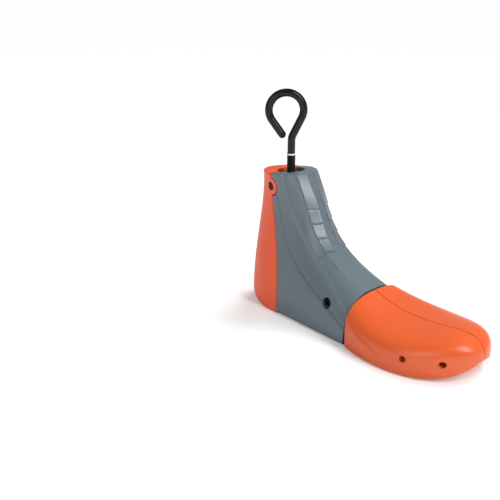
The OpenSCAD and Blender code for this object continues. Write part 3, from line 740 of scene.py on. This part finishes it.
# %% Front lip
arch_z = 1.6 + (RIM_Z - 2.0) * np.sin(np.linspace(0, 1, 70) * np.pi / 2)
arch_y = side_y(arch_z, RIM_X - 0.02) - 1.3
half_arch = np.stack([np.full_like(arch_z, RIM_X), arch_y, arch_z], 1)
top_bar = np.linspace(arch_y[-1], 0, 12)[1:-1]
half_arch = np.concatenate([half_arch, np.stack([0 * top_bar + RIM_X, top_bar, 0 * top_bar + arch_z[-1]], 1)])
arch = np.concatenate([half_arch, half_arch[::-1] * [1, -1, 1]])
along = np.gradient(arch, axis=0)
along /= np.linalg.norm(along, axis=1, keepdims=True)
sideways = np.cross(along, [1.0, 0, 0])
angle = np.linspace(0, 2 * np.pi, 12, endpoint=False)
lip = arch[:, None, :] + 0.55 * np.sin(angle)[None, :, None] * sideways[:, None, :]
lip[..., 0] += 0.3 + 0.55 * np.cos(angle) - 0.5
count = len(angle)
faces = grid_faces(len(arch), count, wrap=True)
faces += [list(range(count - 1, -1, -1)), list(range((len(arch) - 1) * count, len(arch) * count))]
front_lip = new_piece("front_lip", lip.reshape(-1, 3), faces, grey_abs, 60)
print("lip points", len(arch))

# %% [markdown]
# ## The orange heel shell
# The heel is the back of the same sections, so it uses the same curves with its own edge. It is
# closed by a rounded sole below and a collar above, and its ears carry the hinge.

# %% Heel shell
HEEL_WALL = 3.0


def heel_half(z, draw_in, steps):
    """Half of a heel level: from the edge beside the body round to the heel line."""
    back, centre, front, half, ef, eg, k = section(z)
    back, half, edge = back + draw_in, half - draw_in, heel_edge(z)
    x = mix(edge, back, steps)
    behind = half * np.sqrt(np.maximum(0, 1 - ((centre - x) / (centre - back)) ** 2))
    f = np.clip((x - centre) / (front - centre), 0, 1)
    ahead = half * np.maximum(0, 1 - f ** (2 / ef)) ** (eg / 2) * (1 + k * (x - centre) / (RIM_X - centre))
    return x, np.where(x < centre, behind, ahead)


ear_rows = PIVOT_Z - (EAR_R - 0.02) * np.cos(np.linspace(0, np.pi, 41))
heel_z = np.concatenate([
    SOLE_R * (1 - np.cos(np.linspace(0, np.pi / 2, 24))), np.linspace(SOLE_R, ear_rows[0], 90)[1:-1],
    ear_rows, np.linspace(ear_rows[-1], HEIGHT - TOP_R, 8)[1:],
    HEIGHT - TOP_R + TOP_R * np.sin(np.linspace(0, np.pi / 2, 5))[1:],
])[:, None]
round_steps = np.sin(edge_steps(0.012, 60, 1.0) * np.pi / 2)[None, :]
x, y = heel_half(heel_z, 0, round_steps)
outer = both_sides(x, y, heel_z, -1)
level_normal = normals(outer)
level_normal[..., 2] = 0
level_normal /= np.maximum(np.linalg.norm(level_normal, axis=2, keepdims=True), 1e-9)
outward = np.sign(np.sum(level_normal * (outer - [40, 0, 0]), axis=2).mean())
edge_distance = np.abs(outer[..., 0] - heel_edge(heel_z))
heel_crease = 0.25 * (1 - smooth_step(np.abs(heel_z - 14.4), 0, 1.2)) + 0.03 * np.maximum(0, 14 - heel_z)
depth = eased(edge_distance, EDGE_R) + eased(HEIGHT - heel_z, TOP_R) + heel_crease
outer = sloped(outer - outward * level_normal * depth[..., None], HEEL_CLIMB)
inner_z = np.where(heel_z < 15, mix(HEEL_WALL, 15, heel_z / 15), heel_z)
inner_z = np.where(heel_z > PIVOT_Z, mix(PIVOT_Z, 125, (heel_z - PIVOT_Z) / (HEIGHT - PIVOT_Z)), inner_z)
x, y = heel_half(inner_z, HEEL_WALL, round_steps)
inner = both_sides(x, y, inner_z, -1)
heel_form = shell("heel_form", outer, inner, heel_abs)
carve(heel_form, [
    rod("cut", "z", (STEM_X, 0, 0), 124.5, CUT_TOP, RECESS_R, heel_abs, 96),
    rod("cut", "y", (PIVOT_X, 0, PIVOT_Z), -30, 30, 4.1, heel_abs, 48),
])
print("heel grid", outer.shape, "faces", len(heel_form.data.polygons))

# %% [markdown]
# ## Works inside the heel
# A rib runs forward from the heel's back to the pin that the cam block pushes, and a round boss
# backs each ear.

# %% Rib and ear bosses
CAM_PIN_R = 2.52
rib_outline = [[3.5, 36], [16, 44], [24, 47.6], [28.3, 52], [24, 56.4], [16, 60], [4, 66], [2.4, 50]]
rib = prism("rib", rib_outline, "y", -4, 4, heel_abs)
carve(settle(rib), [rod("cut", "y", (24, 0, 52), -9, 9, CAM_PIN_R, heel_abs, 32)])
ear_boss = np.array([[12.6, 4.1], [12.6, 6.3], [16.6, 6.3], [16.6, 4.1], [12.6, 4.1]])
ears = [turned("ear", ear_boss[::s] * [s, 1], (PIVOT_X, 0, PIVOT_Z), "y", heel_abs) for s in (1, -1)]
heel_works = joined([rib, *ears], "heel_works")
print("heel works faces", len(heel_works.data.polygons))

# %% [markdown]
# ## The toe halves
# Each half is a run of domed cross sections along the foot. The half width and the height follow
# cubic curves, faded to nothing at the tip by superellipse terms, and each section is a fuller
# superellipse above the sole line and a tight one below it. One half is worked out, and the other
# is its mirror image with its faces turned round.

# %% Toe sections
TOE_X, TOE_L, TOE_W, TOE_WALL, NOSE_Z = 142.0, 108.0, 96.0, 2.6, 17.4


def fade(u, a, b):
    """Superellipse term that falls from 1 at the rear to 0 at the tip."""
    return np.maximum(0, 1 - u**a) ** (1 / b)


def plan(u):
    return bezier([0.842, 1.115, 1.031, 0.721], u) * fade(u, 4.48, 2.28)


PLAN_PEAK = plan(np.linspace(0, 1, 51)).max()


def toe_section(u, draw_in):
    """Half width, crown height and sole height at u, drawn in by a wall."""
    w = (TOE_W / 2 - PART_GAP / 2) * plan(u) / PLAN_PEAK - draw_in * fade(u, 4.48, 2.28)
    crown = bezier([41.7, 24.7, 30.5, 44.1], u) - draw_in
    top = NOSE_Z + (crown - NOSE_Z) * fade(u, 5.42, 2.17)
    sole = draw_in + (NOSE_Z - draw_in) * (1 - fade(u, 6.75, 1.52))
    return w, top, sole


def toe_grid(u, angle, draw_in):
    """Points of one half: rows along u and columns round the dome from sole seam to top seam."""
    w, top, sole = toe_section(u, draw_in)
    c, s = np.maximum(0, np.cos(angle)), np.abs(np.sin(angle))
    line = mix(sole, top, 0.03)
    y = w * np.where(angle < 0, c**0.48, c**0.91)
    z = np.where(angle < 0, line - (line - sole) * s**0.89, line + (top - line) * s**0.38)
    back = TOE_X - 1.2 * (z / 41.7 + y / TOE_W)
    return np.stack([mix(back, TOE_X + TOE_L - draw_in, u), PART_GAP / 2 + y, z], -1)


close = np.radians([0, 0.05, 0.14, 0.32, 0.6])
arc = np.linspace(0.6, 179.0, 96)[1:-1]
toe_angle = np.concatenate([close - np.pi / 2, np.radians(arc - 90), np.pi / 2 - close[::-1]])[None, :]
along = np.radians(np.concatenate([[0, 0.05, 0.14, 0.28, 0.45], np.linspace(0.45, 89.6, 110)[1:]]))
toe_u = np.sin(along)[:, None]
outer = toe_grid(toe_u, toe_angle, 0)
print("toe grid", outer.shape)

# %% [markdown]
# ## Relief on the toe
# Low on each side a band leans out a little, parted from the slightly hollow face above it by a
# soft crease that sweeps down and fades towards the tip.

# %% Toe relief and shells
TOE_CREASE = ([140, 160, 182, 215], [27, 14, 9, 7])


def toe_relief(x, y, z):
    """Depth of the hollow above the side band, which fades towards the tip and the crown."""
    above = line_distance(TOE_CREASE, np.minimum(x, 214), z)
    hollow = 0.9 * smooth_step(above, 0, 2.0) * (1 - smooth_step(above, 3, 16))
    return hollow * (1 - smooth_step(x, 175, 214)) * smooth_step(y, 22, 32)


toe_normal = normals(outer)
outward = np.sign(np.sum(toe_normal[10:60] * (outer[10:60] - [190, 0, 15]), axis=2).mean())
depth = toe_relief(outer[..., 0], outer[..., 1], outer[..., 2])
depth += eased(outer[..., 1] - PART_GAP / 2, 0.5) * (toe_u < 0.995)
depth += eased(TOE_L * np.broadcast_to(toe_u, depth.shape), 0.7)
outer = outer - outward * toe_normal * depth[..., None]
outer[..., 1] = np.maximum(outer[..., 1], PART_GAP / 2)
outer[..., 2] = np.maximum(outer[..., 2], 0)
inner = toe_grid(toe_u, toe_angle, TOE_WALL)
SIDES = {"left": 1, "right": -1}
PLUGS = [(204, 15), (232, 16)]
toe_forms = {}
for hand, side in SIDES.items():
    flip = slice(None) if side > 0 else slice(None, None, -1)
    skin, lining = outer[:, flip] * [1, side, 1], inner[:, flip] * [1, side, 1]
    form = shell(f"toe_{hand}_form", skin, lining, orange_abs, open_start=True)
    low, high = sorted((side * 20, side * 60))
    carve(form, [rod("cut", "y", (x, 0, z), low, high, 2.8, orange_abs, 48) for x, z in PLUGS])
    toe_forms[hand] = form
    print(form.name, "faces", len(form.data.polygons))

# %% [markdown]
# ## Works inside the toe halves
# Each half slides on two rods in round bosses and holds an upright pin between two shelves.

# %% Bosses and shelves
def toe_works(hand, side):
    """Rod bosses, the two shelves for the pin and the tubes behind the plug holes."""
    def tube(x, z, inner_r, outer_r, low, high):
        loop = np.array([[low, inner_r], [low, outer_r], [high, outer_r], [high, inner_r], [low, inner_r]])
        return turned("tube", loop[::side] * [side, 1], (x, 0, z), "y", orange_abs, 48)

    parts = [tube(156, 7.4, 2.6, 5.5, 12, 39), tube(198, 7.4, 2.6, 5.5, 12, 44)]
    parts += [tube(204, 15, 2.8, 4.4, 38.2, 43), tube(232, 16, 2.8, 4.4, 24.8, 27.5)]
    for z in (11.5, 20.8):
        reach = np.array([[176, 9], [192, 9], [192, 38], [176, 38]]) * [1, side]
        shelf = settle(prism("shelf", reach, "z", z, z + 3.7, orange_abs))
        parts.append(carve(shelf, [rod("cut", "z", (184, side * 13, 0), 5, 30, CAM_PIN_R, orange_abs, 32)]))
    return joined(parts, f"toe_{hand}_works")


works = {hand: toe_works(hand, side) for hand, side in SIDES.items()}
print("toe works made")

# %% [markdown]
# ## The hook screw
# The hook is one bar bent in a plane: up from the ring, a bend to the right, a straight leg, most
# of a circle and a straight free end. A curve object with a bevel could make it, but its ends
# would need caps. Here a centre line of straights and arcs is sampled evenly, and a circle is
# carried along it. The plane's own normal serves as one direction of the frame, so the tube can't
# twist, and the free end is rounded by shrinking the last circles.

# %% Bent bar
ROD_R, LOOP_R, BEND_R, LOOP_SHIFT, RING_Z = 3.55, 15.6, 12.5, 5.2, 143.2
LEG, END, END_L, TURN = math.radians(26), math.radians(35.5), 16.0, math.radians(46.7)
loop_q = RING_Z + 0.65 + 40
leg_p, leg_q = LOOP_R * math.cos(LEG) - LOOP_SHIFT, loop_q - LOOP_R * math.sin(LEG)
bend_p = BEND_R * (1 - math.cos(LEG))
leg_l = (leg_p - bend_p) / math.sin(LEG)
bend_q = leg_q - leg_l * math.cos(LEG) - BEND_R * math.sin(LEG)


def arc_points(p, q, radius, start, stop, steps):
    a = np.linspace(start, stop, steps)
    return np.stack([p + radius * np.cos(a), q + radius * np.sin(a)], 1)


line = np.concatenate([
    [[0, RING_Z - 0.5], [0, mix(RING_Z, bend_q, 0.5)]],
    arc_points(BEND_R, bend_q, BEND_R, math.pi, math.pi - LEG, 14),
    arc_points(-LOOP_SHIFT, loop_q, LOOP_R, -LEG, math.pi + END, 90),
])
free = line[-1] + np.outer(np.linspace(0, 1, 8)[1:], [math.sin(END), -math.cos(END)]) * END_L
line = np.concatenate([line, free])
tangent = np.gradient(line, axis=0)
tangent[-8:] = [math.sin(END), -math.cos(END)]
tangent /= np.linalg.norm(tangent, axis=1, keepdims=True)
tip_angle = np.radians([20, 40, 60, 75, 86])
tip = line[-1] + np.outer(np.sin(tip_angle), tangent[-1]) * ROD_R
radius = np.concatenate([np.full(len(line), ROD_R), ROD_R * np.cos(tip_angle)])
line = np.concatenate([line, tip])
tangent = np.concatenate([tangent, np.repeat(tangent[-1:], len(tip), 0)])
theta = np.linspace(0, 2 * np.pi, 40, endpoint=False)
across = np.array([math.cos(TURN), math.sin(TURN), 0])
plane_normal = np.array([-math.sin(TURN), math.cos(TURN), 0])
upright = np.array([0, 0, 1.0])
path = np.array([STEM_X, 0, 0]) + line[:, :1] * across + line[:, 1:] * upright
in_plane = -tangent[:, 1:] * across + tangent[:, :1] * upright
ring_points = radius[:, None, None] * (
    np.cos(theta)[None, :, None] * in_plane[:, None, :] + np.sin(theta)[None, :, None] * plane_normal
)
bar = path[:, None, :] + ring_points
count = len(theta)
faces = grid_faces(len(path), count, wrap=True, flip=True)
faces += [list(range(count)), list(range(len(path) * count - 1, (len(path) - 1) * count - 1, -1))]
hook_bar = new_piece("hook_bar", bar.reshape(-1, 3), faces, black_steel, 50)
print("hook top", round(float(bar[..., 2].max()), 1), "mm")

# %% [markdown]
# ## The thread
# Below the ring the bar is threaded, and its plain lower end turns in the cam block. A screw
# modifier could sweep the thread, but a grid is simpler to close: its radius is the ridge's
# height, which climbs one pitch per turn.

# %% Threaded stem
THREAD_R, PITCH, THREAD_DEPTH = 4.0, 1.25, 0.5
thread_z = np.linspace(85.2, RING_Z, 470)[:, None]
theta = np.linspace(0, 2 * np.pi, 36, endpoint=False)[None, :]
climb = np.mod(thread_z / PITCH - theta / (2 * np.pi), 1.0)
ridge = np.clip(1.6 * (1 - np.abs(2 * climb - 1)) - 0.2, 0, 1)
ends = smooth_step(thread_z, 85.2, 86.5)
thread_radius = THREAD_R - THREAD_DEPTH * (1 - ridge * ends)
around = [STEM_X + thread_radius * np.cos(theta), thread_radius * np.sin(theta), thread_z + 0 * theta]
grid = np.stack(around, -1)
count = theta.shape[1]
faces = grid_faces(len(thread_z), count, wrap=True)
faces += [list(range(count - 1, -1, -1)), list(range((len(thread_z) - 1) * count, len(thread_z) * count))]
hook_thread = new_piece("hook_thread", grid.reshape(-1, 3), faces, black_steel, 60)
tail = [[72, 2.6], [72.4, 3], [74, 3], [74, 2.45], [75, 2.45], [75, 3], [85.3, 3]]
hook_tail = turned("hook_tail", tail, (STEM_X, 0, 0), "z", zinc_steel, 48)
print("thread rows", len(thread_z))

# %% [markdown]
# ## What moves with what
# Each new piece rides on the body of the solid that it stands for, and hides that solid.

# %% Riders
RIDERS = {
    "body": ([body_form, body_works, front_lip], "body_shell", "body"),
    "heel": ([heel_form, heel_works], "heel_shell", "orange"),
    "toe_left": ([toe_forms["left"], works["left"]], "toe_left", "orange"),
    "toe_right": ([toe_forms["right"], works["right"]], "toe_right", "orange"),
    "hook": ([hook_bar, hook_thread, hook_tail], "hook", "black_metal"),
}
for body, (pieces, node, finish) in RIDERS.items():
    for piece in pieces:
        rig.ride(piece, body)
        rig.slot(piece, finish)
    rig.replaces(pieces[0], node)
print("pieces riding:", sum(len(r[0]) for r in RIDERS.values()))

# %% [markdown]
# ## Table and light
# A wide white table fills the picture. A sun with a very wide disc lights it evenly out to the
# horizon and keeps the object's shadow soft, and a pale sky fills in. For the camera alone the
# table glows a little, so that paper in full light reads as pure white and only the shadow stays
# grey. The sun gives no glints of its own: two soft lamps do, and the tall one in front shines in
# the facets of the stepped strip.

# %% Table, sky and lamps
def paper():
    """White table: a diffuse surface that is lifted a little where the camera sees it."""
    material, tree, shader, place = new_material("white_paper")
    shader.inputs["Base Color"].default_value = linear("#f2f2f2")
    shader.inputs["Roughness"].default_value = 0.9
    shader.inputs["Specular IOR Level"].default_value = 0.0
    shader.inputs["Emission Color"].default_value = linear("#ffffff")
    ray = add(tree, "LightPath")
    lift = add(tree, "Math", {"operation": "MULTIPLY"}, _0=ray.outputs["Is Camera Ray"], _1=CAMERA_LIFT)
    tree.links.new(lift.outputs[0], shader.inputs["Emission Strength"])
    return material


CAMERA_LIFT, SKY, SUN = 0.17, 0.32, 2.3
REACH = 60000
corners = [[-REACH, -REACH, 0], [REACH, -REACH, 0], [REACH, REACH, 0], [-REACH, REACH, 0]]
table = new_piece("table", corners, [[0, 1, 2, 3]], paper(), 0)
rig.stage(table)

world = bpy.data.worlds.new("soft_sky")
world.use_nodes = True
tree = world.node_tree
tree.nodes.clear()
sky = add(tree, "Background", Color=linear("#ffffff"), Strength=SKY)
plain = add(tree, "Background", Color=linear("#ffffff"), Strength=1.0)
ray = add(tree, "LightPath")
seen = add(tree, "MixShader", _0=ray.outputs["Is Camera Ray"], _1=sky.outputs[0], _2=plain.outputs[0])
add(tree, "OutputWorld", Surface=seen.outputs[0])
scene.world = world


def lamp(name, kind, at, aim, power, **settings):
    """Lamp at a point, turned towards another."""
    light = bpy.data.lights.new(name, kind)
    light.energy = power
    for setting, value in settings.items():
        setattr(light, setting, value)
    holder = bpy.data.objects.new(name, light)
    scene.collection.objects.link(holder)
    holder.matrix_world = look_from(at, aim)
    return holder


high_sun = lamp("high_sun", "SUN", (120, 700, 1000), (120, 0, 0), SUN, angle=math.radians(36))
high_sun.visible_glossy = False
lamp("front_box", "AREA", (793, 28, 649), (85, -9, 95), 4.6, shape="RECTANGLE", size=0.25, size_y=0.65)
lamp("side_box", "AREA", (300, -850, 450), (90, 0, 60), 2, shape="RECTANGLE", size=0.6, size_y=0.6)
print("lamps set")

# %% Sizes
json.dump(
    {"cad": [list(map(float, c)) for c in cad_box], "visual": [list(map(float, c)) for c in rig.bounds()]},
    open("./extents.json", "w"),
)
print("sizes", open("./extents.json").read())

# %% [markdown]
# ## Finish
